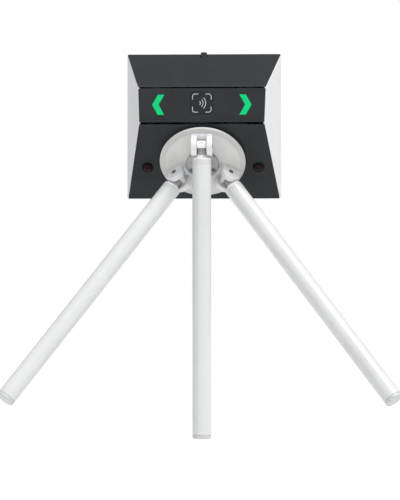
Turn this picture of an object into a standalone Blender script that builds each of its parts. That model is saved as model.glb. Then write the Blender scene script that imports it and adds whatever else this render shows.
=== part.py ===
"""Wall-mounted tripod turnstile head with three drop arms, modelled in metres with +Z up.

The origin is the centre of the back mounting face. The front faces -Y. Dimensions below are in
millimetres. Housing outlines are given as (depth in front of the wall, height above the bottom).
"""
import math

import bmesh
import bpy
from mathutils import Matrix, Vector

MM = 0.001
GAP = 0.3

# Housing
HOUSING_HEIGHT = 260.0
BACK_HALF_WIDTH = 138.5
SIDE_TAPER = 0.2376
SIDE_THICKNESS = 3.0
FRONT_THICKNESS = 3.0
BACK_THICKNESS = 4.0
LOWER_START = (12.0, 0.0)
LIP_DEPTH = 124.0
BAND_BOTTOM = (124.0, 131.9)
BAND_TOP = (115.0, 188.2)
UPPER_START = (112.0, 192.9)
TOP_EDGE = (4.0, 260.0)

# Hub axis: it leaves the lower front panel square to it, down and forwards
HUB_TILT = math.radians(42.0)
LOWER_SLOPE = 1.0 / math.tan(HUB_TILT)
HUB_DEPTH = 72.3
HUB_HEIGHT = (HUB_DEPTH - LOWER_START[0]) * LOWER_SLOPE
LIP_HEIGHT = (LIP_DEPTH - LOWER_START[0]) * LOWER_SLOPE
DISC_RADIUS = 75.5
DISC_FACE = 12.0
SHAFT_RADIUS = 15.0
SHAFT_OPENING = 40.0
CAP_RADIUS = 28.4
CAP_FACE = 17.3
SCREW_CIRCLE = 22.0

# Arms
ARM_COUNT = 3
ARM_TUBE_RADIUS = 16.25
ARM_TUBE_BORE = 14.8
ARM_LENGTH = 508.0
ARM_CONE = math.radians(40.5)
ARM_TUBE_START = 24.3
ARM_CAP_HEIGHT = 7.0
PIVOT_RADIUS = 48.0
PIVOT_FACE = 24.5
PIN_RADIUS = 4.0
TONGUE_HALF = 8.0
TONGUE_ROUND = 9.8
CLEVIS_HALF = 18.3
CLEVIS_LOBE = 17.0
CLEVIS_SLOT_HALF = 8.6
CLEVIS_FOOT_HALF = 19.0
CLEVIS_FLOOR = 14.2

# Mechanism behind the lower front panel, as distances along the hub axis
PLATE_FRONT = -9.0
PLATE_BACK = -14.0
CHEEK_HALF = 84.0
CAM_FRONT = -38.0
CAM_BACK = -43.0
CAM_RADIUS = 31.0
CAM_LOBE = 3.0
GEAR_FRONT = -45.5
GEAR_BACK = -50.5
GEAR_MODULE = 2.0
GEAR_TEETH = 40
PINION_TEETH = 16
DAMPER_OFFSET = 56.3
DAMPER_ANGLE = math.radians(144.0)
INDEX_PIVOT = (56.0, -38.0)
INDEX_ROLLER = (28.6, -28.6)
SOLENOID_INNER = 50.0
SOLENOID_OUTER = 76.0
PLUNGER_TIP = 37.6

# Reader band features, measured on the band's own face
ARROW_OFFSET = 76.1
ARROW_DROP = -1.0
ARROW_HALF_WIDTH = 10.6
ARROW_HALF_HEIGHT = 18.1
ARROW_STROKE = 11.3
WINDOW_HALF = 20.0
WINDOW_RISE = 1.8

# Sensors on the lower panel, measured on that panel from the hub axis
SENSOR_OFFSET = 98.3
SENSOR_DROP = -18.2
SENSOR_RADIUS = 8.8

# Wall fixings and service lock
FIXING_RADIUS = 4.0
FIXING_X = 110.0
FIXING_LOW = 40.0
FIXING_HIGH = 220.0
GLAND_RADIUS = 12.0
GLAND_HEIGHT = 30.0
LOCK_DEPTH = 12.0
LOCK_RADIUS = 5.5
LOCK_TOP = 262.3

SMOOTH_ANGLE = math.radians(32.0)
ROUND_STEPS = 36
HIDDEN_STEPS = 24
SMALL_STEPS = 16


def linear(channel):
    value = channel / 255.0
    if value <= 0.04045:
        return value / 12.92
    return ((value + 0.055) / 1.055) ** 2.4


def make_material(name, colour, roughness, metallic):
    material = bpy.data.materials.new(name)
    material.use_nodes = True
    shader = material.node_tree.nodes["Principled BSDF"]
    shader.inputs["Base Color"].default_value = [linear(channel) for channel in colour] + [1.0]
    shader.inputs["Roughness"].default_value = roughness
    shader.inputs["Metallic"].default_value = metallic
    return material


def clear_scene():
    for item in list(bpy.data.objects):
        bpy.data.objects.remove(item, do_unlink=True)


def make_empty(name, parent=None, location=(0.0, 0.0, 0.0), rotation=(0.0, 0.0, 0.0)):
    empty = bpy.data.objects.new(name, None)
    empty.empty_display_size = 0.03
    empty.location = [value * MM for value in location]
    empty.rotation_euler = rotation
    empty.parent = parent
    bpy.context.collection.objects.link(empty)
    return empty


def turned(profile, steps=ROUND_STEPS):
    """Spin a closed (radius, height) outline about Z; radii of zero lie on the axis."""
    mesh = bmesh.new()
    points = [mesh.verts.new((radius * MM, 0.0, height * MM)) for radius, height in profile]
    edges = [mesh.edges.new((points[i - 1], points[i])) for i in range(len(points))
             if profile[i - 1][0] > 0.0 or profile[i][0] > 0.0]
    bmesh.ops.spin(mesh, geom=points + edges, cent=(0, 0, 0), axis=(0, 0, 1), dvec=(0, 0, 0),
                   angle=math.tau, steps=steps, use_merge=True, use_duplicate=False)
    bmesh.ops.remove_doubles(mesh, verts=mesh.verts[:], dist=0.00001)
    bmesh.ops.recalc_face_normals(mesh, faces=mesh.faces[:])
    return mesh


def extruded(outline, low, high):
    """Extrude a flat (x, y) outline along Z from low to high."""
    mesh = bmesh.new()
    base = mesh.faces.new([mesh.verts.new((x * MM, y * MM, low * MM)) for x, y in outline])
    result = bmesh.ops.extrude_face_region(mesh, geom=[base])
    lifted = [item for item in result["geom"] if isinstance(item, bmesh.types.BMVert)]
    bmesh.ops.translate(mesh, verts=lifted, vec=(0.0, 0.0, (high - low) * MM))
    bmesh.ops.recalc_face_normals(mesh, faces=mesh.faces[:])
    return mesh


def box(low, high):
    outline = [(low[0], low[1]), (high[0], low[1]), (high[0], high[1]), (low[0], high[1])]
    return extruded(outline, low[2], high[2])


def cylinder(radius, low, high, steps=SMALL_STEPS, chamfer=0.0):
    profile = [(0.0, low), (radius - chamfer, low), (radius, low + chamfer),
               (radius, high - chamfer), (radius - chamfer, high), (0.0, high)]
    if chamfer == 0.0:
        profile = [(0.0, low), (radius, low), (radius, high), (0.0, high)]
    return turned(profile, steps)


def cylinder_along_x(radius, low, high, steps=SMALL_STEPS, chamfer=0.0):
    mesh = cylinder(radius, low, high, steps, chamfer)
    mesh.transform(Matrix.Rotation(math.radians(90.0), 4, "Y"))
    return mesh


def moved(mesh, offset, turn=0.0):
    shift = Vector([value * MM for value in offset])
    mesh.transform(Matrix.Translation(shift) @ Matrix.Rotation(turn, 4, "Z"))
    return mesh


def inset_run(run, distance, bottom=None):
    """Shift a straight front run inwards; with a bottom, start it at that height."""
    (low_depth, low_height), (high_depth, high_height) = run
    length = math.hypot(high_depth - low_depth, high_height - low_height)
    along = ((high_depth - low_depth) / length, (high_height - low_height) / length)
    shift = (-along[1] * distance, along[0] * distance)
    low = (low_depth + shift[0], low_height + shift[1])
    high = (high_depth + shift[0], high_height + shift[1])
    if bottom is not None:
        low = (low[0] + (bottom - low[1]) * along[0] / along[1], bottom)
    return [low, high]


def tapered(outline, half_width):
    """A (depth, height) outline extruded across the housing, narrowing towards the front."""
    mesh = bmesh.new()
    rows = []
    for side in (-1.0, 1.0):
        rows.append([mesh.verts.new((side * (half_width - SIDE_TAPER * depth) * MM, -depth * MM,
                                     (height - HOUSING_HEIGHT / 2) * MM))
                     for depth, height in outline])
    mesh.faces.new(rows[0])
    mesh.faces.new(rows[1])
    for i in range(len(outline)):
        mesh.faces.new((rows[0][i - 1], rows[0][i], rows[1][i], rows[1][i - 1]))
    bmesh.ops.recalc_face_normals(mesh, faces=mesh.faces[:])
    return mesh


def side_wall(outline, side):
    mesh = bmesh.new()
    rows = []
    for inset in (0.0, SIDE_THICKNESS):
        rows.append([mesh.verts.new((side * (BACK_HALF_WIDTH - inset - SIDE_TAPER * depth) * MM,
                                     -depth * MM, (height - HOUSING_HEIGHT / 2) * MM))
                     for depth, height in outline])
    mesh.faces.new(rows[0])
    mesh.faces.new(rows[1])
    for i in range(len(outline)):
        mesh.faces.new((rows[0][i - 1], rows[0][i], rows[1][i], rows[1][i - 1]))
    bmesh.ops.recalc_face_normals(mesh, faces=mesh.faces[:])
    return mesh


def stand_up(mesh):
    """Turn an (outward, along the hub axis) extrusion so that its depth runs along the pin."""
    mesh.transform(Matrix(((0, 0, 1, 0), (1, 0, 0, 0), (0, 1, 0, 0), (0, 0, 0, 1))))
    return mesh


def mesh_data(mesh, name):
    data = bpy.data.meshes.new(name)
    mesh.to_mesh(data)
    mesh.free()
    return data


def add_piece(name, mesh, material, parent=None, cuts=(), joins=()):
    """Make one sub-part from a base mesh, the meshes joined to it and the meshes cut from it."""
    piece = bpy.data.objects.new(name, mesh_data(mesh, name))
    bpy.context.collection.objects.link(piece)
    piece.parent = parent
    tools = [(item, "UNION") for item in joins] + [(item, "DIFFERENCE") for item in cuts]
    for index, (tool, operation) in enumerate(tools):
        tool_name = f"{name}_tool_{index}"
        helper = bpy.data.objects.new(tool_name, mesh_data(tool, tool_name))
        helper.hide_render = True
        helper.display_type = "WIRE"
        helper.parent = parent
        bpy.context.collection.objects.link(helper)
        modifier = piece.modifiers.new(tool_name, "BOOLEAN")
        modifier.operation = operation
        modifier.solver = "EXACT"
        modifier.object = helper
    piece.data.materials.append(material)
    piece.data.shade_smooth()
    piece.data.set_sharp_from_angle(angle=SMOOTH_ANGLE)
    return piece


def arc(centre, radius, start, end, steps):
    """Points of an arc from start to end degrees."""
    points = []
    for i in range(steps + 1):
        angle = math.radians(start + (end - start) * i / steps)
        points.append((centre[0] + radius * math.cos(angle), centre[1] + radius * math.sin(angle)))
    return points


def rounded_rectangle(half_x, half_y, radius, steps=5):
    points = []
    corners = ((1, 1, 0), (-1, 1, 90), (-1, -1, 180), (1, -1, 270))
    for x_sign, y_sign, start in corners:
        centre = (x_sign * (half_x - radius), y_sign * (half_y - radius))
        points += arc(centre, radius, start, start + 90, steps)
    return points


def gear_outline(teeth, phase):
    """Straight-flanked gear teeth; a tooth is centred on the phase angle."""
    pitch_radius = GEAR_MODULE * teeth / 2
    pitch = math.tau / teeth
    stations = ((-0.31, -2.3), (-0.10, 1.6), (0.10, 1.6), (0.31, -2.3))
    points = []
    for tooth in range(teeth):
        for share, height in stations:
            angle = phase + (tooth + share) * pitch
            radius = pitch_radius + height
            points.append((radius * math.cos(angle), radius * math.sin(angle)))
    return points


def cam_outline(steps=48):
    """Three shallow lobes, one for each arm's parking position."""
    points = []
    for i in range(steps):
        angle = math.tau * i / steps
        radius = CAM_RADIUS + CAM_LOBE * math.cos(3 * angle)
        points.append((radius * math.cos(angle), radius * math.sin(angle)))
    return points


def arrow_outline(direction, grow):
    """A chevron with flat top and bottom ends that points outwards."""
    tip = ARROW_HALF_WIDTH + grow
    height = ARROW_HALF_HEIGHT + grow
    inner = ARROW_HALF_WIDTH - ARROW_STROKE - grow
    far = -ARROW_HALF_WIDTH - grow
    shoulder = -ARROW_HALF_WIDTH + ARROW_STROKE + grow
    points = [(far, height), (shoulder, height), (tip, 0.0), (shoulder, -height), (far, -height),
              (inner, 0.0)]
    return [(direction * x, y) for x, y in points]


def build_materials():
    return {
        "side_white": make_material("side_white", (226, 227, 228), 0.45, 0.0),
        "front_grey": make_material("front_grey", (58, 62, 65), 0.6, 0.0),
        "back_steel": make_material("back_steel", (168, 170, 172), 0.45, 1.0),
        "chassis_steel": make_material("chassis_steel", (150, 153, 156), 0.42, 1.0),
        "lens_green": make_material("lens_green", (13, 206, 126), 0.35, 0.0),
        "window_black": make_material("window_black", (38, 41, 43), 0.25, 0.0),
        "bezel_black": make_material("bezel_black", (22, 22, 23), 0.4, 0.0),
        "lens_red": make_material("lens_red", (74, 12, 16), 0.12, 0.0),
        "lock_dark": make_material("lock_dark", (72, 72, 74), 0.35, 1.0),
        "lock_chrome": make_material("lock_chrome", (190, 190, 192), 0.15, 1.0),
        "block_aluminium": make_material("block_aluminium", (182, 185, 188), 0.4, 1.0),
        "bearing_chrome": make_material("bearing_chrome", (200, 202, 205), 0.15, 1.0),
        "coil_black": make_material("coil_black", (34, 34, 36), 0.5, 0.0),
        "plunger_steel": make_material("plunger_steel", (176, 178, 181), 0.28, 1.0),
        "damper_black": make_material("damper_black", (40, 41, 44), 0.4, 0.0),
        "pinion_brass": make_material("pinion_brass", (196, 160, 84), 0.32, 1.0),
        "sensor_black": make_material("sensor_black", (26, 27, 29), 0.45, 0.0),
        "board_green": make_material("board_green", (28, 92, 58), 0.4, 0.0),
        "gland_rubber": make_material("gland_rubber", (30, 30, 30), 0.8, 0.0),
        "lever_steel": make_material("lever_steel", (160, 162, 165), 0.35, 1.0),
        "roller_black": make_material("roller_black", (44, 44, 46), 0.55, 0.0),
        "spring_steel": make_material("spring_steel", (140, 142, 146), 0.3, 1.0),
        "shaft_steel": make_material("shaft_steel", (172, 174, 178), 0.3, 1.0),
        "cam_steel": make_material("cam_steel", (150, 152, 156), 0.35, 1.0),
        "gear_white": make_material("gear_white", (222, 220, 212), 0.5, 0.0),
        "hub_cover": make_material("hub_cover", (216, 216, 214), 0.42, 0.0),
        "cap_grey": make_material("cap_grey", (168, 169, 171), 0.38, 1.0),
        "screw_steel": make_material("screw_steel", (150, 151, 154), 0.3, 1.0),
        "clevis_grey": make_material("clevis_grey", (178, 180, 182), 0.38, 0.0),
        "arm_block": make_material("arm_block", (214, 215, 216), 0.4, 0.0),
        "arm_white": make_material("arm_white", (232, 233, 234), 0.32, 0.0),
        "arm_cap": make_material("arm_cap", (226, 227, 228), 0.45, 0.0),
        "pin_steel": make_material("pin_steel", (130, 131, 134), 0.28, 1.0),
    }


def build_housing(paint):
    back_top = HOUSING_HEIGHT - 4.0
    back_outline = [(0, 0), (6.0, 0), (8.4, 3), (BACK_THICKNESS, 3), (BACK_THICKNESS, back_top),
                    (0, back_top)]
    middle = HOUSING_HEIGHT / 2
    holes = []
    for x in (-FIXING_X, FIXING_X):
        for height in (FIXING_LOW, FIXING_HIGH):
            hole = cylinder(FIXING_RADIUS, -10.0, 10.0, SMALL_STEPS)
            hole.transform(Matrix.Rotation(math.radians(90.0), 4, "X"))
            holes.append(moved(hole, (x, 0.0, height - middle)))
    cable_hole = cylinder(GLAND_RADIUS + GAP, -10.0, 10.0, ROUND_STEPS)
    cable_hole.transform(Matrix.Rotation(math.radians(90.0), 4, "X"))
    holes.append(moved(cable_hole, (0.0, 0.0, GLAND_HEIGHT - middle)))
    inside_half = BACK_HALF_WIDTH - SIDE_THICKNESS - GAP
    add_piece("back_plate", tapered(back_outline, inside_half), paint["back_steel"], cuts=holes)

    front = [LOWER_START, (LIP_DEPTH, LIP_HEIGHT), BAND_BOTTOM, BAND_TOP, UPPER_START, TOP_EDGE]
    lower_in = inset_run(front[0:2], FRONT_THICKNESS + GAP, bottom=0.0)
    band_in = inset_run(front[2:4], FRONT_THICKNESS + GAP)
    upper_in = inset_run(front[4:6], FRONT_THICKNESS + GAP)
    side_top = TOP_EDGE[1] - FRONT_THICKNESS - GAP
    side_outline = [(0.0, 0.0), lower_in[0], (lower_in[1][0] - 1.0, lower_in[1][1] - LOWER_SLOPE),
                    (band_in[0][0] - 0.3, band_in[0][1]), band_in[1],
                    (band_in[1][0], upper_in[0][1] - 1.2), upper_in[0], upper_in[1],
                    (0.0, side_top)]
    add_piece("left_side_panel", side_wall(side_outline, -1.0), paint["side_white"])
    add_piece("right_side_panel", side_wall(side_outline, 1.0), paint["side_white"])

    front_half = BACK_HALF_WIDTH - 0.5
    upper_back = inset_run(front[4:6], FRONT_THICKNESS)
    upper_outline = [UPPER_START, TOP_EDGE, (0.0, TOP_EDGE[1]),
                     (0.0, TOP_EDGE[1] - FRONT_THICKNESS), upper_back[1], upper_back[0]]
    lock_hole = moved(cylinder(LOCK_RADIUS + GAP, -30.0, 30.0), (0.0, -LOCK_DEPTH, middle))
    add_piece("upper_front_panel", tapered(upper_outline, front_half), paint["front_grey"],
              cuts=[lock_hole])

    band_back = inset_run(front[2:4], FRONT_THICKNESS)
    lip_low = LIP_HEIGHT + 4.2
    lip_high = BAND_BOTTOM[1] - 0.6
    band_outline = [(LIP_DEPTH + 2.0, lip_low), (LIP_DEPTH + 2.0, lip_high), BAND_BOTTOM, BAND_TOP,
                    band_back[1], band_back[0], (band_back[0][0], lip_low)]
    top_depth = BAND_TOP[0] - 1.0
    band_flange_top = [(top_depth, BAND_TOP[1]), (100.0, BAND_TOP[1]), (100.0, BAND_TOP[1] - 3.0),
                       (top_depth, BAND_TOP[1] - 3.0)]
    low_depth = band_back[0][0] + 1.0
    band_flange_low = [(low_depth, lip_high), (110.0, lip_high), (110.0, lip_low),
                       (low_depth, lip_low)]
    flanges = [tapered(band_flange_top, inside_half), tapered(band_flange_low, inside_half)]
    cuts = []
    for side in (-1.0, 1.0):
        hole = extruded(arrow_outline(side, GAP), -20.0, 20.0)
        cuts.append(on_band(moved(hole, (side * ARROW_OFFSET, ARROW_DROP, 0.0))))
    window_hole = extruded(rounded_rectangle(WINDOW_HALF + GAP, WINDOW_HALF + GAP, 5.0), -20.0, 20.0)
    cuts.append(on_band(moved(window_hole, (0.0, WINDOW_RISE, 0.0))))
    add_piece("reader_band", tapered(band_outline, front_half), paint["front_grey"],
              joins=flanges, cuts=cuts)

    lower_back = inset_run(front[0:2], FRONT_THICKNESS)
    inner_lip = (lower_back[1][0] + (LIP_HEIGHT - lower_back[1][1]) / LOWER_SLOPE, LIP_HEIGHT)
    lower_outline = [LOWER_START, (LIP_DEPTH, LIP_HEIGHT), inner_lip, lower_back[0]]
    lower_flange = [(inner_lip[0] + 1.0, LIP_HEIGHT), (110.0, LIP_HEIGHT),
                    (110.0, LIP_HEIGHT - 3.0), (inner_lip[0] - 1.5, LIP_HEIGHT - 3.0)]
    openings = [on_hub(cylinder(SHAFT_OPENING, -10.0, 10.0, ROUND_STEPS))]
    for side in (-1.0, 1.0):
        hole = cylinder(SENSOR_RADIUS - 2.0 + GAP, -10.0, 10.0, SMALL_STEPS)
        openings.append(on_hub(moved(hole, (side * SENSOR_OFFSET, SENSOR_DROP, 0.0))))
    add_piece("lower_front_panel", tapered(lower_outline, front_half), paint["front_grey"],
              joins=[tapered(lower_flange, inside_half)], cuts=openings)

    gland = turned([(6.0, GAP), (GLAND_RADIUS, GAP), (GLAND_RADIUS, BACK_THICKNESS + GAP),
                    (15.0, BACK_THICKNESS + GAP), (15.0, 7.5), (6.0, 7.5)], HIDDEN_STEPS)
    gland.transform(Matrix.Rotation(math.radians(90.0), 4, "X"))
    add_piece("cable_gland", moved(gland, (0.0, 0.0, GLAND_HEIGHT - middle)), paint["gland_rubber"])


def band_matrix():
    depth_run = BAND_BOTTOM[0] - BAND_TOP[0]
    height_run = BAND_TOP[1] - BAND_BOTTOM[1]
    tilt = math.atan2(height_run, depth_run)
    centre = Vector((0.0, -(BAND_BOTTOM[0] + BAND_TOP[0]) / 2 * MM,
                     ((BAND_BOTTOM[1] + BAND_TOP[1]) / 2 - HOUSING_HEIGHT / 2) * MM))
    return Matrix.Translation(centre) @ Matrix.Rotation(tilt, 4, "X")


def hub_matrix():
    centre = Vector((0.0, -HUB_DEPTH * MM, (HUB_HEIGHT - HOUSING_HEIGHT / 2) * MM))
    return Matrix.Translation(centre) @ Matrix.Rotation(math.pi / 2 + HUB_TILT, 4, "X")


def hub_point(up_slope, along_axis):
    """Depth and height of a point given by its distances up the panel and along the hub axis."""
    across_part = math.sin(HUB_TILT)
    along_part = math.cos(HUB_TILT)
    return (HUB_DEPTH + across_part * up_slope + along_part * along_axis,
            HUB_HEIGHT + along_part * up_slope - across_part * along_axis)


def on_band(mesh):
    mesh.transform(band_matrix())
    return mesh


def on_hub(mesh):
    mesh.transform(hub_matrix())
    return mesh


def across(outline, low, high):
    """Extrude a (depth, height) outline straight across the housing between two X values."""
    mesh = extruded([(depth, height - HOUSING_HEIGHT / 2) for depth, height in outline], low, high)
    mesh.transform(Matrix(((0, 0, 1, 0), (-1, 0, 0, 0), (0, 1, 0, 0), (0, 0, 0, 1))))
    bmesh.ops.recalc_face_normals(mesh, faces=mesh.faces[:])
    return mesh


def build_chassis(paint):
    plate_low = -50.0
    plate_high = 56.0
    plate = on_hub(box((-CHEEK_HALF, plate_low, PLATE_BACK), (CHEEK_HALF, plate_high, PLATE_FRONT)))
    middle = (PLATE_FRONT + PLATE_BACK) / 2
    low_corner = hub_point(plate_low, middle)
    high_corner = hub_point(plate_high, middle)
    wall_side = BACK_THICKNESS + GAP
    cheek = [low_corner, high_corner, (wall_side, 180.0), (wall_side, 45.0)]
    foot = [(wall_side, 45.0), (wall_side + 3.0, 45.0), (wall_side + 3.0, 180.0), (wall_side, 180.0)]
    joins = []
    for side in (-1.0, 1.0):
        edges = sorted((side * CHEEK_HALF, side * (CHEEK_HALF - 4.0)))
        joins.append(across(cheek, edges[0], edges[1]))
        edges = sorted((side * (CHEEK_HALF - 1.0), side * (CHEEK_HALF + 12.0)))
        joins.append(across(foot, edges[0], edges[1]))
    spindle_hole = moved(cylinder(3.4, -30.0, 0.0), (INDEX_PIVOT[0], INDEX_PIVOT[1], 0.0))
    shaft_hole = cylinder(17.0, -30.0, 0.0, ROUND_STEPS)
    add_piece("chassis", plate, paint["chassis_steel"], joins=joins,
              cuts=[on_hub(shaft_hole), on_hub(spindle_hole)])


def build_reader(paint, band):
    for side, word in ((-1.0, "left"), (1.0, "right")):
        lens = extruded(arrow_outline(side, 0.0), -6.0, 0.4)
        add_piece(f"arrow_lens_{word}", moved(lens, (side * ARROW_OFFSET, ARROW_DROP, 0.0)),
                  paint["lens_green"], band)
        board = box((-13.0, -18.5, -14.0), (13.0, 20.0, -12.4))
        lamps = [moved(box((-2.5, -2.5, -13.0), (2.5, 2.5, -11.0)), (0.0, height, 0.0))
                 for height in (-12.0, 0.0, 12.0)]
        shift = (side * ARROW_OFFSET, ARROW_DROP, 0.0)
        add_piece(f"led_board_{word}", moved(board, shift), paint["board_green"], band,
                  joins=[moved(lamp, shift) for lamp in lamps])
    window = extruded(rounded_rectangle(WINDOW_HALF, WINDOW_HALF, 5.0), -3.0, 0.0)
    window = moved(window, (0.0, WINDOW_RISE, 0.0))
    add_piece("reader_window", window, paint["window_black"], band)
    antenna = box((-32.0, -20.0, -14.0), (32.0, 20.0, -12.4))
    chip = box((-7.0, -7.0, -13.0), (7.0, 7.0, -10.4))
    add_piece("reader_board", antenna, paint["board_green"], band, joins=[chip])


def build_sensors(paint, hub):
    for side, word in ((-1.0, "left"), (1.0, "right")):
        place = (side * SENSOR_OFFSET, SENSOR_DROP, 0.0)
        inner = SENSOR_RADIUS - 2.0
        ring = turned([(5.0, -6.0), (inner, -6.0), (inner, GAP), (SENSOR_RADIUS, GAP),
                       (SENSOR_RADIUS, 2.0), (SENSOR_RADIUS - 1.2, 3.2), (5.0, 3.2)], HIDDEN_STEPS)
        add_piece(f"sensor_bezel_{word}", moved(ring, place), paint["bezel_black"], hub)
        dome = [(0.0, -9.0), (4.6, -9.0), (4.6, 2.4)]
        dome += [(4.6 * math.cos(math.radians(angle)), 2.4 + 2.6 * math.sin(math.radians(angle)))
                 for angle in (30, 60)]
        dome.append((0.0, 5.0))
        add_piece(f"sensor_lens_{word}", moved(turned(dome, SMALL_STEPS), place), paint["lens_red"], hub)


def build_lock(paint):
    middle = HOUSING_HEIGHT / 2
    base = LOCK_TOP - 17.0
    tail_low = base - 9.0
    sleeve = turned([(3.9, base - middle), (LOCK_RADIUS, base - middle),
                     (LOCK_RADIUS, LOCK_TOP - 0.8 - middle), (LOCK_RADIUS - 0.8, LOCK_TOP - middle),
                     (3.9, LOCK_TOP - middle)], SMALL_STEPS)
    add_piece("lock_body", moved(sleeve, (0.0, -LOCK_DEPTH, 0.0)), paint["lock_dark"])
    axis = make_empty("lock_axis", location=(0.0, -LOCK_DEPTH, 0.0))
    plug = cylinder(3.6, tail_low - middle, LOCK_TOP - 0.4 - middle)
    tail = box((0.0, -3.4, tail_low - middle), (16.0, 3.4, tail_low + 2.4 - middle))
    key_slot = box((-2.4, -0.5, LOCK_TOP - 4.0 - middle), (2.4, 0.5, LOCK_TOP + 4.0 - middle))
    add_piece("lock_barrel", plug, paint["lock_chrome"], axis, joins=[tail], cuts=[key_slot])


def build_bearings(paint, hub):
    block = turned([(22.0, PLATE_BACK - GAP), (34.0, PLATE_BACK - GAP), (34.0, -19.0), (28.0, -19.0),
                    (28.0, -36.0), (22.0, -36.0), (22.0, -28.2), (17.0, -28.2), (17.0, -22.5),
                    (22.0, -22.5)], HIDDEN_STEPS)
    add_piece("bearing_block", block, paint["block_aluminium"], hub)
    for name, front, back in (("bearing_front", -15.0, -22.2), ("bearing_rear", -28.5, -35.7)):
        race = turned([(SHAFT_RADIUS + GAP, back), (18.0, back), (18.4, back + 0.8),
                       (19.6, back + 0.8), (21.7, back), (21.7, front), (19.6, front - 0.8),
                       (18.4, front - 0.8), (18.0, front), (SHAFT_RADIUS + GAP, front)], HIDDEN_STEPS)
        add_piece(name, race, paint["bearing_chrome"], hub)


def build_solenoids(paint, hub):
    level = (CAM_FRONT + CAM_BACK) / 2
    for side, word in ((-1.0, "left"), (1.0, "right")):
        turn = 0.0 if side > 0 else math.pi
        outline = [(SOLENOID_INNER, level - 8.0), (SOLENOID_OUTER, level - 8.0),
                   (SOLENOID_OUTER, PLATE_BACK - GAP), (SOLENOID_OUTER - 5.0, PLATE_BACK - GAP),
                   (SOLENOID_OUTER - 5.0, level + 8.0), (SOLENOID_INNER, level + 8.0)]
        body = stand_up(extruded(outline, -13.0, 13.0))
        body = moved(body, (0.0, 0.0, 0.0), turn - math.radians(90.0))
        bore = cylinder_along_x(4.4, SOLENOID_INNER - 2.0, 68.0)
        add_piece(f"solenoid_{word}", body, paint["coil_black"], hub,
                  cuts=[moved(moved(bore, (0.0, 0.0, level)), (0.0, 0.0, 0.0), turn)])
        slide = make_empty(f"plunger_axis_{word}", hub, (0.0, 0.0, level), (0.0, 0.0, turn))
        plunger = cylinder_along_x(4.0, PLUNGER_TIP, 64.0, SMALL_STEPS, 0.8)
        collar = cylinder_along_x(4.8, 43.5, 45.5, SMALL_STEPS)
        add_piece(f"plunger_{word}", plunger, paint["plunger_steel"], slide, joins=[collar])


def build_damper(paint, hub):
    place = (DAMPER_OFFSET * math.cos(DAMPER_ANGLE), DAMPER_OFFSET * math.sin(DAMPER_ANGLE), 0.0)
    body = turned([(0.0, PLATE_BACK - GAP), (19.0, PLATE_BACK - GAP), (19.0, -18.0), (15.0, -18.0),
                   (15.0, -42.0), (4.4, -42.0), (4.4, -24.0), (0.0, -24.0)], HIDDEN_STEPS)
    add_piece("damper_body", moved(body, place), paint["damper_black"], hub)
    axis = make_empty("damper_axis", hub, place)
    phase = DAMPER_ANGLE + math.pi + math.pi / PINION_TEETH
    pinion = extruded(gear_outline(PINION_TEETH, phase), GEAR_BACK, GEAR_FRONT)
    shaft = cylinder(4.0, GEAR_BACK - 2.0, -26.0, 20)
    add_piece("damper_pinion", pinion, paint["pinion_brass"], axis, joins=[shaft])


def build_position_sensor(paint, hub):
    """A fork over the gear's rim, on a leg from the chassis plate."""
    slot_floor = 45.5
    back = 50.0
    top = PLATE_BACK - GAP
    near = GEAR_FRONT + 0.5
    far = GEAR_BACK - 0.5
    outline = [(58.0, top), (slot_floor, top), (slot_floor, near + 1.8), (37.5, near + 1.8),
               (37.5, near), (slot_floor, near), (slot_floor, far), (37.5, far), (37.5, far - 2.6),
               (back, far - 2.6), (back, -18.0), (58.0, -18.0)]
    fork = stand_up(extruded(outline, -6.0, 6.0))
    add_piece("optical_sensor", moved(fork, (0.0, 0.0, 0.0), math.radians(-45.0)),
              paint["sensor_black"], hub)


def build_index_lever(paint, hub):
    axis = make_empty("index_axis", hub, (INDEX_PIVOT[0], INDEX_PIVOT[1], 0.0))
    reach = (INDEX_ROLLER[0] - INDEX_PIVOT[0], INDEX_ROLLER[1] - INDEX_PIVOT[1])
    heading = math.degrees(math.atan2(reach[1], reach[0]))
    outline = arc((0.0, 0.0), 7.5, heading + 90, heading + 270, 10)
    outline += arc(reach, 5.0, heading - 90, heading + 90, 10)
    plate = extruded(outline, -37.4, -35.0)
    boss = cylinder(6.0, -36.0, PLATE_BACK - 0.6, SMALL_STEPS)
    spindle = cylinder(3.0, -20.0, PLATE_FRONT + 1.5, SMALL_STEPS)
    stud = moved(cylinder(2.2, -43.8, -36.0, SMALL_STEPS), (reach[0], reach[1], 0.0))
    add_piece("index_lever", plate, paint["lever_steel"], axis, joins=[boss, spindle, stud])
    roller_axis = make_empty("roller_axis", axis, (reach[0], reach[1], 0.0))
    roller = turned([(2.5, -43.0), (5.2, -43.0), (6.0, -42.2), (6.0, -38.8), (5.2, -38.0),
                     (2.5, -38.0)], SMALL_STEPS)
    add_piece("index_roller", roller, paint["roller_black"], roller_axis)
    spring_top = -17.0
    spring_base = -33.0
    coils = 4
    pitch = (spring_top - spring_base) / coils
    ridges = [(6.4, spring_top), (6.4, spring_base)]
    for coil in range(coils):
        base = spring_base + pitch * coil
        ridges += [(7.2, base), (8.6, base + 0.3 * pitch), (8.6, base + 0.7 * pitch)]
    ridges.append((7.2, spring_top))
    spring = turned(ridges, SMALL_STEPS)
    add_piece("index_spring", moved(spring, (INDEX_PIVOT[0], INDEX_PIVOT[1], 0.0)),
              paint["spring_steel"], hub)


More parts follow.
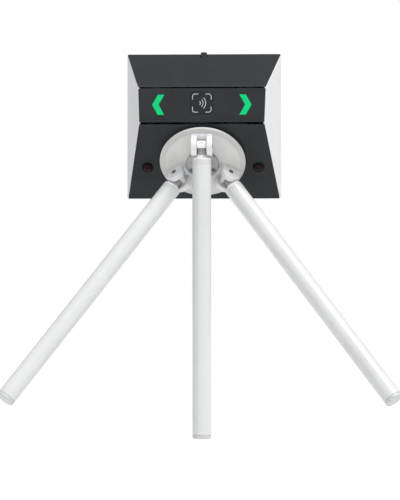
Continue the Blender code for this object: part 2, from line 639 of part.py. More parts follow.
def build_controls(paint):
    middle = HOUSING_HEIGHT / 2
    low = 148.0 - middle
    board = box((-60.0, -9.6, low), (60.0, -8.0, low + 70.0))
    parts = [
        box((-50.0, -18.0, low + 8.0), (-22.0, -9.0, low + 30.0)),
        box((-10.0, -13.0, low + 20.0), (14.0, -9.0, low + 44.0)),
        box((26.0, -20.0, low + 6.0), (52.0, -9.0, low + 18.0)),
        box((26.0, -15.0, low + 36.0), (48.0, -9.0, low + 62.0)),
    ]
    for x in (-54.0, 54.0):
        for height in (low + 5.0, low + 65.0):
            post = cylinder(3.0, 4.3, 9.0, 16)
            post.transform(Matrix.Rotation(math.radians(90.0), 4, "X"))
            parts.append(moved(post, (x, 0.0, height)))
    add_piece("control_board", board, paint["board_green"], joins=parts)


def build_rotor(paint, rotor):
    shaft = [(0.0, -55.0), (13.0, -55.0), (SHAFT_RADIUS, -53.0), (SHAFT_RADIUS, -6.0), (24.0, -4.0),
             (33.0, -4.0), (33.0, 3.7), (0.0, 3.7)]
    disc = [(0.0, 4.0), (DISC_RADIUS - 2.5, 4.0), (DISC_RADIUS, 5.5), (DISC_RADIUS, 8.4),
            (DISC_RADIUS - 1.0, 9.4), (DISC_RADIUS - 9.5, DISC_FACE), (0.0, DISC_FACE)]
    cap_back = DISC_FACE + GAP
    cap = [(0.0, cap_back), (CAP_RADIUS, cap_back), (CAP_RADIUS, CAP_FACE - 1.0),
           (CAP_RADIUS - 1.0, CAP_FACE), (0.0, CAP_FACE)]
    seat = CAP_FACE - 4.0
    places = []
    for index in range(ARM_COUNT):
        angle = math.tau * index / ARM_COUNT
        places.append((SCREW_CIRCLE * math.sin(angle), SCREW_CIRCLE * math.cos(angle), 0.0))

    def holes():
        return [moved(cylinder(2.6, -2.0, 30.0, 16), place) for place in places]

    add_piece("hub_shaft", turned(shaft), paint["shaft_steel"], rotor, cuts=holes())
    add_piece("hub_disc", turned(disc, 56), paint["hub_cover"], rotor, cuts=holes())
    heads = [moved(cylinder(4.7, seat, 30.0, SMALL_STEPS), place) for place in places]
    add_piece("hub_cap", turned(cap, ROUND_STEPS), paint["cap_grey"], rotor, cuts=holes() + heads)
    for index, place in enumerate(places):
        screw = turned([(0.0, -1.0), (2.2, -1.0), (2.2, seat + GAP), (4.3, seat + GAP),
                        (4.3, CAP_FACE - 0.4), (3.9, CAP_FACE), (0.0, CAP_FACE)], SMALL_STEPS)
        socket = cylinder(2.3, CAP_FACE - 2.2, 30.0, 6)
        spot = make_empty(f"hub_screw_spot_{index + 1}", rotor, place)
        add_piece(f"hub_screw_{index + 1}", screw, paint["screw_steel"], spot, cuts=[socket])

    cam = extruded(cam_outline(), CAM_BACK, CAM_FRONT)
    add_piece("index_cam", cam, paint["cam_steel"], rotor,
              cuts=[cylinder(SHAFT_RADIUS + GAP, -80.0, -30.0, HIDDEN_STEPS)])
    gear = extruded(gear_outline(GEAR_TEETH, math.radians(90.0)), GEAR_BACK, GEAR_FRONT)
    add_piece("drive_gear", gear, paint["gear_white"], rotor,
              cuts=[cylinder(SHAFT_RADIUS + GAP, -80.0, -30.0, HIDDEN_STEPS)])


def build_clevis(name, paint, frame):
    base_low = DISC_FACE + GAP
    lobe = arc((PIVOT_RADIUS, PIVOT_FACE), CLEVIS_LOBE, -28.0, 208.0, 20)
    outline = [(PIVOT_RADIUS - CLEVIS_FOOT_HALF, base_low),
               (PIVOT_RADIUS + CLEVIS_FOOT_HALF, base_low)] + lobe
    body = stand_up(extruded(outline, -CLEVIS_HALF, CLEVIS_HALF))
    slot = box((-CLEVIS_SLOT_HALF, 0.0, CLEVIS_FLOOR), (CLEVIS_SLOT_HALF, 100.0, 100.0))
    bore = moved(cylinder_along_x(PIN_RADIUS + GAP, -30.0, 30.0),
                 (0.0, PIVOT_RADIUS, PIVOT_FACE))
    add_piece(name, body, paint["clevis_grey"], frame, cuts=[slot, bore])


def build_arm(index, paint, pivot):
    number = index + 1
    tongue_outline = arc((0.0, 0.0), TONGUE_ROUND, 180.0, 360.0, 12)
    tongue_outline += [(TONGUE_ROUND, 19.0), (-TONGUE_ROUND, 19.0)]
    tongue = stand_up(extruded(tongue_outline, -TONGUE_HALF, TONGUE_HALF))
    collar_back = ARM_TUBE_START - GAP
    collar = turned([(0.0, 18.2), (11.0, 18.2), (ARM_TUBE_RADIUS - 0.3, 21.5),
                     (ARM_TUBE_RADIUS - 0.3, collar_back), (ARM_TUBE_BORE - GAP, collar_back),
                     (ARM_TUBE_BORE - GAP, 50.0), (0.0, 50.0)])
    bore = cylinder_along_x(PIN_RADIUS + GAP, -20.0, 20.0)
    add_piece(f"arm_block_{number}", tongue, paint["arm_block"], pivot, joins=[collar], cuts=[bore])

    tube_end = ARM_LENGTH - ARM_CAP_HEIGHT
    tube = turned([(ARM_TUBE_BORE, ARM_TUBE_START), (ARM_TUBE_RADIUS - 1.2, ARM_TUBE_START),
                   (ARM_TUBE_RADIUS, ARM_TUBE_START + 1.2), (ARM_TUBE_RADIUS, tube_end),
                   (ARM_TUBE_BORE, tube_end)])
    add_piece(f"arm_tube_{number}", tube, paint["arm_white"], pivot)

    rim = ARM_LENGTH - 4.0
    cap = [(0.0, tube_end - 20.0), (ARM_TUBE_BORE - GAP, tube_end - 20.0),
           (ARM_TUBE_BORE - GAP, tube_end + GAP), (ARM_TUBE_RADIUS, tube_end + GAP)]
    cap += arc((ARM_TUBE_RADIUS - 4.0, rim), 4.0, 0.0, 90.0, 4) + [(0.0, ARM_LENGTH)]
    add_piece(f"arm_cap_{number}", turned(cap), paint["arm_cap"], pivot)

    pin = cylinder_along_x(PIN_RADIUS, -CLEVIS_HALF - 0.6, CLEVIS_HALF + 0.6, SMALL_STEPS, 0.6)
    add_piece(f"pivot_pin_{number}", pin, paint["pin_steel"], pivot)


def build_arms(paint, rotor):
    for index, angle in enumerate((0.0, -120.0, 120.0)):
        frame = make_empty(f"clevis_frame_{index + 1}", rotor,
                           rotation=(0.0, 0.0, -math.radians(angle)))
        build_clevis(f"clevis_{index + 1}", paint, frame)
        lean = math.pi / 2 - HUB_TILT if index == 0 else -ARM_CONE
        pivot = make_empty(f"arm_axis_{index + 1}", frame, (0.0, PIVOT_RADIUS, PIVOT_FACE),
                           (lean, 0.0, 0.0))
        build_arm(index, paint, pivot)


def main():
    clear_scene()
    paint = build_materials()
    hub_place = hub_matrix()
    band_place = band_matrix()
    hub = make_empty("hub_frame", location=hub_place.translation / MM,
                     rotation=hub_place.to_euler())
    rotor = make_empty("hub_axis", hub)
    band = make_empty("band_frame", location=band_place.translation / MM,
                      rotation=band_place.to_euler())
    build_housing(paint)
    build_chassis(paint)
    build_reader(paint, band)
    build_sensors(paint, hub)
    build_lock(paint)
    build_bearings(paint, hub)
    build_solenoids(paint, hub)
    build_damper(paint, hub)
    build_position_sensor(paint, hub)
    build_index_lever(paint, hub)
    build_controls(paint)
    build_rotor(paint, rotor)
    build_arms(paint, rotor)


main()
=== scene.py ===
# Visual model of a tripod turnstile head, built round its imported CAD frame.
# Lengths in the dictionaries are in millimetres, but metres for the studio and the camera.
# In the band's frame and the hub's frame y runs up the panel and z runs out of it.
import math

import bmesh
import bpy
from mathutils import Matrix, Vector


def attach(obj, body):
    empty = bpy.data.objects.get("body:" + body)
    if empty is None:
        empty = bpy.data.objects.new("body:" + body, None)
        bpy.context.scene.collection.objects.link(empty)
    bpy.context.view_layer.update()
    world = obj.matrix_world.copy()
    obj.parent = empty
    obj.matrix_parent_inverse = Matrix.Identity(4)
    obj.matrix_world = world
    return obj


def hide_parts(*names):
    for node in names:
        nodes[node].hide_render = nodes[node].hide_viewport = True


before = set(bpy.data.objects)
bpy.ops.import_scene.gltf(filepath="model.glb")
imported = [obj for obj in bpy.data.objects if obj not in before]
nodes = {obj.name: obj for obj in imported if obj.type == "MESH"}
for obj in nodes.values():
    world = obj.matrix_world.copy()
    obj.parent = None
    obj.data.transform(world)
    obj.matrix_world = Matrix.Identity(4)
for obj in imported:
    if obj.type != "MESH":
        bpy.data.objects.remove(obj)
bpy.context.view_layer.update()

mm = 0.001
gap = 0.3  # clearance between neighbouring pieces
sharpAngle = 34.0  # creases steeper than this stay sharp
mergeDistance = 0.000001
flatAngle = 0.6  # facets closer to level than this, in degrees, are one face

# the hub's own frame: x across, y up the slanted panel, z out along the axis of rotation
hubTilt = math.radians(42.0)
hubFrame = Matrix.Translation((0.0, -0.0723, -0.0630301)) @ Matrix.Rotation(math.pi / 2 + hubTilt, 4, "X")
bandFrame = Matrix.Translation((0.0, -0.1195, 0.03005)) @ Matrix.Rotation(math.atan2(56.3, 9.0), 4, "X")
armTurns = (0.0, 120.0, -120.0)  # top, left and right fork, as turns about the hub axis
pivotPlace = (0.0, 48.0, 24.5)  # each cross pin in its fork's frame
armLeans = (48.0, -40.5, -40.5)  # the top arm hangs, the lower two stand in the passage


def forkFrame(index):
    return hubFrame @ Matrix.Rotation(math.radians(armTurns[index]), 4, "Z")


def armFrame(index):
    shift = Matrix.Translation([value * mm for value in pivotPlace])
    return forkFrame(index) @ shift @ Matrix.Rotation(math.radians(armLeans[index]), 4, "X")


def linearColour(hexText):
    channels = [int(hexText[i:i + 2], 16) / 255.0 for i in (1, 3, 5)]
    return [c / 12.92 if c <= 0.04045 else ((c + 0.055) / 1.055) ** 2.4 for c in channels] + [1.0]


def addNode(tree, kind, settings=None, links=None):
    # a lower-case name is a setting of the node, any other name or number is one of its sockets
    node = tree.nodes.new(kind)
    for key, value in (settings or {}).items():
        if isinstance(key, str) and key[0].islower():
            setattr(node, key, value)
        else:
            node.inputs[key].default_value = value
    for key, (source, socket) in (links or {}).items():
        tree.links.new(source.outputs[socket], node.inputs[key])
    return node


waveRate = 0.314  # a wave texture's own scale for one ring in each unit of length


# each look: colour and shade mix over a slow mottle, grain gives the bump, rough is the range of roughness
def finish(name, look, place=None):
    material = bpy.data.materials.new(name)
    material.use_nodes = True
    tree = material.node_tree
    tree.nodes.clear()
    coords = addNode(tree, "ShaderNodeTexCoord")
    turned = Matrix.Identity(4) if place is None else place
    mapped = addNode(tree, "ShaderNodeMapping", {
        "vector_type": "TEXTURE", "Location": turned.to_translation(), "Rotation": turned.to_euler(),
    }, {"Vector": (coords, "Object")})
    stretch = addNode(tree, "ShaderNodeMapping", {
        "vector_type": "POINT", "Scale": look.get("stretch", (1.0, 1.0, 1.0)),
    }, {"Vector": (mapped, 0)})
    mottle = addNode(tree, "ShaderNodeTexNoise", {
        "Scale": 1.0 / (look["mottleSize"] * mm), "Detail": 3.0, "Roughness": 0.55,
    }, {"Vector": (mapped, 0)})
    colour = addNode(tree, "ShaderNodeValToRGB", links={"Fac": (mottle, 0)})
    colour.color_ramp.elements[0].position = look.get("shadeFrom", 0.3)
    colour.color_ramp.elements[1].position = look.get("shadeTo", 0.7)
    colour.color_ramp.elements[0].color = linearColour(look["shade"])
    colour.color_ramp.elements[1].color = linearColour(look["colour"])
    grain = addNode(tree, "ShaderNodeTexNoise", {
        "Scale": 1.0 / (look["grainSize"] * mm), "Detail": look.get("grainDetail", 2.0), "Roughness": 0.5,
    }, {"Vector": (stretch, 0)})
    height = (grain, 0)
    if look.get("ringPitch"):  # turning marks, circles about the axis of the part
        rings = addNode(tree, "ShaderNodeTexWave", {
            "wave_type": "RINGS", "rings_direction": "Z", "Scale": waveRate / (look["ringPitch"] * mm),
            "Distortion": 0.6, "Detail": 2.0, "Detail Scale": 2.0,
        }, {"Vector": (mapped, 0)})
        both = addNode(tree, "ShaderNodeMath", {"operation": "ADD"}, {0: (rings, 1), 1: (grain, 0)})
        height = (both, 0)
    if look.get("cellSize"):  # crystals of a hot-dipped coat, or the weave of a board
        cells = addNode(tree, "ShaderNodeTexVoronoi", {
            "feature": "F1", "Scale": 1.0 / (look["cellSize"] * mm),
        }, {"Vector": (mapped, 0)})
        tone = addNode(tree, "ShaderNodeSeparateColor", links={"Color": (cells, "Color")})
        mixed = addNode(tree, "ShaderNodeMath", {
            "operation": "MULTIPLY_ADD", 1: look.get("cellMix", 0.5),
        }, {0: (tone, 0), 2: (mottle, 0)})
        lowered = addNode(tree, "ShaderNodeMath", {
            "operation": "SUBTRACT", 1: look.get("cellMix", 0.5) * 0.5,
        }, {0: (mixed, 0)})
        tree.links.new(lowered.outputs[0], colour.inputs["Fac"])
    rough = addNode(tree, "ShaderNodeMapRange", {
        "From Min": 0.3, "From Max": 0.7, "To Min": look["rough"][0], "To Max": look["rough"][1],
    }, {"Value": (grain, 0)})
    bump = addNode(tree, "ShaderNodeBump", {
        "Strength": look.get("bump", 0.5), "Distance": look["grainDepth"] * mm,
    }, {"Height": height})
    shader = addNode(tree, "ShaderNodeBsdfPrincipled", {
        "Metallic": look.get("metallic", 0.0),
    }, {"Base Color": (colour, 0), "Roughness": (rough, 0), "Normal": (bump, 0)})
    for socket, value in look.get("shader", {}).items():
        shader.inputs[socket].default_value = value
    addNode(tree, "ShaderNodeOutputMaterial", links={"Surface": (shader, 0)})
    return material


print("materials")
looks = {
    # polyester powder coat on folded steel sheet: clean white with a soft orange peel
    "side_white": dict(colour="#f0f1f2", shade="#eaebed", mottleSize=60, grainSize=1.6, grainDepth=0.05,
                       rough=(0.40, 0.50), shader={"Coat Weight": 0.1, "Coat Roughness": 0.3}),
    # moulded ABS with a spark-eroded skin: matt charcoal; the grit is drawn coarser than life to show
    "front_grey": dict(colour="#2b2f32", shade="#26292c", mottleSize=35, grainSize=0.9, grainDepth=0.07,
                       rough=(0.50, 0.66), bump=0.6, shader={"Specular IOR Level": 0.22}),
    # galvanised sheet: large zinc crystals, dull and light
    "back_steel": dict(colour="#b9bcbf", shade="#a2a5a9", mottleSize=25, grainSize=0.6, grainDepth=0.02,
                       rough=(0.36, 0.52), metallic=1.0, cellSize=9.0, cellMix=0.6),
    # bright zinc plate on folded strip: slightly streaked
    "chassis_steel": dict(colour="#aeb1b5", shade="#8f9397", mottleSize=18, grainSize=0.8, grainDepth=0.02,
                          rough=(0.30, 0.46), metallic=1.0, stretch=(1.0, 6.0, 6.0)),
    # cast acrylic with a diffusing pigment, lit from behind: even saturated green
    "lens_green": dict(colour="#08c878", shade="#06ba6e", mottleSize=9, grainSize=0.7, grainDepth=0.02,
                       rough=(0.26, 0.36), shader={
                           "IOR": 1.49, "Emission Color": linearColour("#06cc78"), "Emission Strength": 0.1,
                           "Specular IOR Level": 0.25}),
    # the same moulding on its rounded lip, painted paler as a painted highlight where the bevel catches the
    # light: a thin paler line
    "lip_highlight_grey": dict(colour="#595d61", shade="#515559", mottleSize=35, grainSize=0.9, grainDepth=0.02,
                     rough=(0.34, 0.46), shader={"Specular IOR Level": 0.4}),
    # smoked acrylic: glossy near-black plate
    "window_black": dict(colour="#2a2e31", shade="#25292c", mottleSize=20, grainSize=1.2, grainDepth=0.006,
                         rough=(0.16, 0.24), shader={"IOR": 1.49, "Specular IOR Level": 0.35}),
    # glass-filled nylon: fine satin black
    "bezel_black": dict(colour="#0e0c0c", shade="#090808", mottleSize=4, grainSize=0.5, grainDepth=0.03,
                        rough=(0.40, 0.55), shader={"Specular IOR Level": 0.12}),
    # moulded polycarbonate filter: near-black with a trace of red, wet gloss
    "lens_red": dict(colour="#230c0a", shade="#1a0908", mottleSize=3, grainSize=2.0, grainDepth=0.004,
                     rough=(0.12, 0.18), shader={"IOR": 1.58, "Specular IOR Level": 0.1}),
    # die-cast zinc, stoved charcoal: a smooth satin close to the moulding round it
    "lock_dark": dict(colour="#3b3f42", shade="#34383b", mottleSize=3, grainSize=0.5, grainDepth=0.02,
                      rough=(0.40, 0.52), shader={"Specular IOR Level": 0.3}),
    # chromed brass plug
    "lock_chrome": dict(colour="#c6c7ca", shade="#b2b3b6", mottleSize=3, grainSize=0.4, grainDepth=0.006,
                        rough=(0.10, 0.2), metallic=1.0),
    # turned aluminium: fine circles
    "block_aluminium": dict(colour="#c3c6c9", shade="#adb0b4", mottleSize=10, grainSize=0.6, grainDepth=0.02,
                            rough=(0.30, 0.42), metallic=1.0, ringPitch=1.0),
    "bearing_chrome": dict(colour="#cdcfd2", shade="#b9bbbf", mottleSize=6, grainSize=0.5, grainDepth=0.006,
                           rough=(0.10, 0.20), metallic=1.0, ringPitch=0.8),
    # varnished winding tape
    "coil_black": dict(colour="#29292c", shade="#1d1d20", mottleSize=6, grainSize=0.8, grainDepth=0.05,
                       rough=(0.42, 0.60), stretch=(1.0, 8.0, 1.0)),
    "plunger_steel": dict(colour="#b5b7ba", shade="#9fa1a5", mottleSize=5, grainSize=0.5, grainDepth=0.012,
                          rough=(0.18, 0.32), metallic=1.0, stretch=(4.0, 1.0, 1.0)),
    # moulded acetal housing
    "damper_black": dict(colour="#2c2d30", shade="#232427", mottleSize=7, grainSize=0.6, grainDepth=0.03,
                         rough=(0.34, 0.46)),
    "pinion_brass": dict(colour="#d9b56a", shade="#b9934a", mottleSize=4, grainSize=0.4, grainDepth=0.012,
                         rough=(0.22, 0.36), metallic=1.0),
    "sensor_black": dict(colour="#1f2023", shade="#17181b", mottleSize=4, grainSize=0.5, grainDepth=0.02,
                         rough=(0.38, 0.50)),
    # solder mask over glass cloth: fine woven cells under a glossy green
    "board_green": dict(colour="#1f6b45", shade="#15502f", mottleSize=14, grainSize=0.7, grainDepth=0.02,
                        rough=(0.26, 0.42), cellSize=2.5, cellMix=0.35),
    # moulded nitrile rubber: dusty matt black
    "gland_rubber": dict(colour="#222223", shade="#2b2b2c", mottleSize=5, grainSize=0.5, grainDepth=0.04,
                         rough=(0.68, 0.86)),
    "lever_steel": dict(colour="#a9acb0", shade="#8f9296", mottleSize=6, grainSize=0.5, grainDepth=0.02,
                        rough=(0.28, 0.42), metallic=1.0, stretch=(1.0, 5.0, 1.0)),
    "roller_black": dict(colour="#303033", shade="#262629", mottleSize=3, grainSize=0.5, grainDepth=0.03,
                         rough=(0.48, 0.60)),
    # drawn spring wire
    "spring_steel": dict(colour="#9a9da1", shade="#7d8084", mottleSize=3, grainSize=0.4, grainDepth=0.01,
                         rough=(0.22, 0.36), metallic=1.0),
    # ground shaft steel
    "shaft_steel": dict(colour="#b4b6ba", shade="#9c9fa3", mottleSize=8, grainSize=0.5, grainDepth=0.012,
                        rough=(0.20, 0.34), metallic=1.0, ringPitch=0.9),
    "cam_steel": dict(colour="#9b9da1", shade="#85888c", mottleSize=8, grainSize=0.5, grainDepth=0.015,
                      rough=(0.26, 0.40), metallic=1.0),
    # hobbed acetal: faintly waxy ivory
    "gear_white": dict(colour="#e4e1d6", shade="#dad7ca", mottleSize=12, grainSize=0.6, grainDepth=0.02,
                       rough=(0.36, 0.50), shader={"Subsurface Weight": 0.05}),
    # enamel on spun steel: smooth warm white
    "hub_cover": dict(colour="#d5d4d2", shade="#cecdcb", mottleSize=45, grainSize=1.8, grainDepth=0.02,
                      rough=(0.28, 0.38), shader={"Coat Weight": 0.15, "Coat Roughness": 0.2}),
    # the same enamel over the rolled bevel, painted darker as painted shade on the bevel, and rougher
    "hub_ring_shade": dict(colour="#c6c6c4", shade="#bdbdbb", mottleSize=30, grainSize=1.2, grainDepth=0.02,
                     rough=(0.34, 0.46)),
    # sand-cast sleeve, sprayed warm grey
    "shank_grey": dict(colour="#b3b0ac", shade="#a3a09c", mottleSize=5, grainSize=0.6, grainDepth=0.03,
                       rough=(0.34, 0.48)),
    # faced aluminium, clear anodised: fine circles about the hub axis
    "cap_grey": dict(colour="#aaa9a8", shade="#9a9998", mottleSize=14, grainSize=0.5, grainDepth=0.02,
                     rough=(0.28, 0.42), metallic=1.0, ringPitch=1.1),
    # zinc-flake socket screws
    "screw_steel": dict(colour="#8e9094", shade="#77797d", mottleSize=3, grainSize=0.4, grainDepth=0.02,
                        rough=(0.28, 0.42), metallic=1.0),
    # die-cast zinc, sprayed white: soft pebbled skin
    "clevis_grey": dict(colour="#eaebec", shade="#e2e3e5", mottleSize=9, grainSize=0.9, grainDepth=0.05,
                        rough=(0.32, 0.44)),
    "arm_block": dict(colour="#f0f1f1", shade="#e9eaeb", mottleSize=9, grainSize=0.9, grainDepth=0.04,
                      rough=(0.34, 0.46)),
    # baked enamel on steel tube: soft white, gently reflective, faint peel along its length
    "arm_white": dict(colour="#dedfdf", shade="#d7d8d8", mottleSize=70, grainSize=1.5, grainDepth=0.03,
                      rough=(0.26, 0.34), shader={"Coat Weight": 0.2, "Coat Roughness": 0.18}),
    # moulded polypropylene plug, painted a touch darker than the tube as painted shade for its down-facing
    # end face
    "arm_cap": dict(colour="#cfd0d0", shade="#c5c6c6", mottleSize=8, grainSize=0.7, grainDepth=0.03,
                    rough=(0.38, 0.5)),
    "pin_steel": dict(colour="#85878a", shade="#6c6e72", mottleSize=3, grainSize=0.4, grainDepth=0.015,
                      rough=(0.22, 0.36), metallic=1.0),
    # screen-printed ink
    "icon_ink": dict(colour="#c4c7c9", shade="#b8bbbd", mottleSize=4, grainSize=0.4, grainDepth=0.01,
                     rough=(0.45, 0.60)),
}
hubTurned = ("block_aluminium", "bearing_chrome", "shaft_steel", "cap_grey")
paint = {name: finish(name, look, hubFrame if name in hubTurned else None) for name, look in looks.items()}


def fillet(points, steps=6):
    # a closed outline whose corners (x, y, radius) become arcs
    result = []
    for index, point in enumerate(points):
        radius = point[2] if len(point) > 2 else 0.0
        corner = Vector(point[:2])
        if radius == 0.0:
            result.append(tuple(corner))
            continue
        before = (Vector(points[index - 1][:2]) - corner).normalized()
        after = (Vector(points[(index + 1) % len(points)][:2]) - corner).normalized()
        half = before.angle(after) / 2
        start = corner + before * radius / math.tan(half)
        centre = corner + (before + after).normalized() * radius / math.sin(half)
        arm = start - centre
        sweep = (math.pi - 2 * half) * (1.0 if before.x * after.y - before.y * after.x < 0 else -1.0)
        for step in range(steps + 1):
            turn = sweep * step / steps
            result.append((centre.x + arm.x * math.cos(turn) - arm.y * math.sin(turn),
                           centre.y + arm.x * math.sin(turn) + arm.y * math.cos(turn)))
    return result


def arc(centre, radius, start, end, steps):
    turns = [math.radians(start + (end - start) * i / steps) for i in range(steps + 1)]
    return [(centre[0] + radius * math.cos(turn), centre[1] + radius * math.sin(turn)) for turn in turns]


def lathe(profile, steps=96):
    # spins a closed (radius, height) outline about z; points at radius 0 become poles
    mesh = bmesh.new()
    rings = []
    for radius, height in profile:
        count = steps if radius > 1e-6 else 1
        rings.append([mesh.verts.new((radius * mm * math.cos(math.tau * i / steps),
                                      radius * mm * math.sin(math.tau * i / steps), height * mm))
                      for i in range(count)])
    for here, there in zip(rings, rings[1:] + rings[:1]):
        if len(here) == 1 and len(there) == 1:
            continue
        for i in range(steps):
            j = (i + 1) % steps
            corners = [here[i % len(here)], there[i % len(there)], there[j % len(there)], here[j % len(here)]]
            mesh.faces.new(list(dict.fromkeys(corners)))
    bmesh.ops.recalc_face_normals(mesh, faces=mesh.faces[:])
    return mesh


def slab(outline, low, high):
    mesh = bmesh.new()
    base = mesh.faces.new([mesh.verts.new((x * mm, y * mm, low * mm)) for x, y in outline])
    made = bmesh.ops.extrude_face_region(mesh, geom=[base])
    lifted = [item for item in made["geom"] if isinstance(item, bmesh.types.BMVert)]
    bmesh.ops.translate(mesh, verts=lifted, vec=(0.0, 0.0, (high - low) * mm))
    bmesh.ops.recalc_face_normals(mesh, faces=mesh.faces[:])
    return mesh


def block(low, high):
    return slab([(low[0], low[1]), (high[0], low[1]), (high[0], high[1]), (low[0], high[1])], low[2], high[2])


def rod(radius, low, high, steps=48):
    return lathe([(0.0, low), (radius, low), (radius, high), (0.0, high)], steps)


def placed(mesh, matrix):
    mesh.transform(matrix)
    return mesh


def shifted(mesh, offset):
    return placed(mesh, Matrix.Translation([value * mm for value in offset]))


pinWay = Matrix.Rotation(math.radians(90.0), 4, "Y")  # z to x
endOn = Matrix.Rotation(math.radians(-90.0), 4, "X")  # z to y
sideOn = Matrix(((0, 0, 1, 0), (1, 0, 0, 0), (0, 1, 0, 0), (0, 0, 0, 1)))  # a (y, z) outline, deep along x


def cadCopy(node):
    mesh = bmesh.new()
    mesh.from_mesh(nodes[node].data)
    bmesh.ops.remove_doubles(mesh, verts=mesh.verts[:], dist=mergeDistance)
    bmesh.ops.dissolve_limit(mesh, angle_limit=math.radians(flatAngle), verts=mesh.verts[:],
                             edges=mesh.edges[:])
    return mesh


def looseObject(name, mesh):
    data = bpy.data.meshes.new(name)
    mesh.to_mesh(data)
    mesh.free()
    item = bpy.data.objects.new(name, data)
    bpy.context.scene.collection.objects.link(item)
    return item


def settle(name, source, matrix=None):
    # turns an evaluated object into a plain mesh object with no modifiers
    graph = bpy.context.evaluated_depsgraph_get()
    data = bpy.data.meshes.new_from_object(source.evaluated_get(graph), preserve_all_data_layers=True,
                                           depsgraph=graph)
    bpy.data.objects.remove(source, do_unlink=True)
    data.name = name
    if matrix is not None:
        data.transform(matrix)
    item = bpy.data.objects.new(name, data)
    bpy.context.scene.collection.objects.link(item)
    return item


def piece(name, mesh, slotName, body, stands, cuts=(), joins=(), bevel=0.0, segments=3, angle=30.0):
    # one finished piece: base mesh, unions, cuts, rounded edges, then its body, slot and CAD nodes
    work = looseObject(name + ".work", mesh)
    tools = []
    for tool, operation in [(item, "UNION") for item in joins] + [(item, "DIFFERENCE") for item in cuts]:
        helper = looseObject(name + ".tool", tool)
        tools.append(helper)
        modifier = work.modifiers.new("shape", "BOOLEAN")
        modifier.operation, modifier.solver, modifier.object = operation, "EXACT", helper
    if bevel:
        edge = work.modifiers.new("edge", "BEVEL")
        edge.width, edge.segments, edge.limit_method = bevel * mm, segments, "ANGLE"
        edge.angle_limit = math.radians(angle)
        edge.miter_outer = "MITER_ARC"
    result = settle(name, work)
    for helper in tools:
        bpy.data.objects.remove(helper, do_unlink=True)
    return dress(result, slotName, body, stands)


def dress(item, slotName, body, stands, ink=None):
    item.data.materials.clear()
    item.data.materials.append(paint[ink or slotName])
    item.data.shade_smooth()
    item.data.set_sharp_from_angle(angle=math.radians(sharpAngle))
    weighted = item.modifiers.new("normals", "WEIGHTED_NORMAL")
    weighted.keep_sharp = True
    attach(item, body)
    if stands:
        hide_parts(*stands)
    return item


def repaint(item, look, place, chosen):
    # a second finish where chosen(centre, normal) holds, both in the frame of place
    item.data.materials.append(paint[look])
    inverse = place.inverted()
    for polygon in item.data.polygons:
        if chosen(inverse @ polygon.center, inverse.to_3x3() @ polygon.normal):
            polygon.material_index = 1


print("housing")
edges = {"side": 0.9, "front": 1.2, "band": 1.2, "slant": 0.9, "back": 0.5}
piece("sidePanelLeft", cadCopy("left_side_panel"), "side_white", "housing", ["left_side_panel"],
      bevel=edges["side"])
piece("sidePanelRight", cadCopy("right_side_panel"), "side_white", "housing", ["right_side_panel"],
      bevel=edges["side"])
topCover = piece("topCover", cadCopy("upper_front_panel"), "front_grey", "housing", ["upper_front_panel"],
                 bevel=edges["front"])
readerBand = piece("readerBand", cadCopy("reader_band"), "front_grey", "housing", ["reader_band"],
                   bevel=edges["band"])
# painted highlight on the lips: the cover's edge over the band, and the band's own lower edge and underside,
# take a paler copy of the moulding
lip = {"coverLow": 27.0, "coverHigh": 36.0, "bandLow": -27.4, "facing": -0.3}
repaint(topCover, "lip_highlight_grey", bandFrame,
        lambda spot, way: lip["coverLow"] < spot.y / mm < lip["coverHigh"] and way.y < lip["facing"])
repaint(readerBand, "lip_highlight_grey", bandFrame,
        lambda spot, way: spot.y / mm < lip["bandLow"] and way.y < lip["facing"])
piece("slantPanel", cadCopy("lower_front_panel"), "front_grey", "housing", ["lower_front_panel"],
      bevel=edges["slant"])
piece("wallPlate", cadCopy("back_plate"), "back_steel", "housing", ["back_plate"], bevel=edges["back"])

gland = {"outer": 12.0, "flange": 15.0, "bore": 6.0, "seat": 4.3, "front": 7.5, "height": -100.0}
glandShape = fillet([(gland["bore"], gap, 0.5), (gland["outer"], gap), (gland["outer"], gland["seat"]),
                     (gland["flange"], gland["seat"]), (gland["flange"], gland["front"], 1.0),
                     (gland["bore"], gland["front"], 1.2)])
glandPlace = Matrix.Translation((0.0, 0.0, gland["height"] * mm)) @ Matrix.Rotation(math.pi / 2, 4, "X")
piece("cableGland", placed(lathe(glandShape, 64), glandPlace), "gland_rubber", "housing", ["cable_gland"])

print("reader band")
arrow = {"offset": 76.1, "drop": -1.0, "halfWidth": 10.6, "halfHeight": 18.1, "stroke": 11.3,
         "back": -6.0, "face": 0.4, "edge": 0.5}


def arrowOutline(side):
    far, near = -arrow["halfWidth"], -arrow["halfWidth"] + arrow["stroke"]
    points = [(far, arrow["halfHeight"]), (near, arrow["halfHeight"]), (arrow["halfWidth"], 0.0),
              (near, -arrow["halfHeight"]), (far, -arrow["halfHeight"]),
              (arrow["halfWidth"] - arrow["stroke"], 0.0)]
    return [(side * x, y) for x, y in points]


for side, word, node in ((-1, "Left", "arrow_lens_left"), (1, "Right", "arrow_lens_right")):
    lens = shifted(slab(arrowOutline(side), arrow["back"], arrow["face"]),
                   (side * arrow["offset"], arrow["drop"], 0.0))
    piece("arrowLens" + word, placed(lens, bandFrame), "lens_green", "housing", [node], bevel=arrow["edge"])

window = {"half": 20.0, "corner": 5.0, "rise": 1.8, "back": -3.0, "edge": 0.3}
windowShape = fillet([(-window["half"], -window["half"], window["corner"]),
                      (window["half"], -window["half"], window["corner"]),
                      (window["half"], window["half"], window["corner"]),
                      (-window["half"], window["half"], window["corner"])], 10)
windowMesh = shifted(slab(windowShape, window["back"], 0.0), (0.0, window["rise"], 0.0))
piece("readerWindow", placed(windowMesh, bandFrame), "window_black", "housing", ["reader_window"],
      bevel=window["edge"])

# the tap mark: four corner brackets round three plain arcs, printed lines that follow their own paths
mark = {"half": 16.3, "corner": 4.5, "leg": 5.5, "line": 1.2, "raise": 0.12, "waveRadii": (5.0, 9.6, 14.2),
        "waveSpread": 42.0, "waveStart": -7.4, "sides": 12}


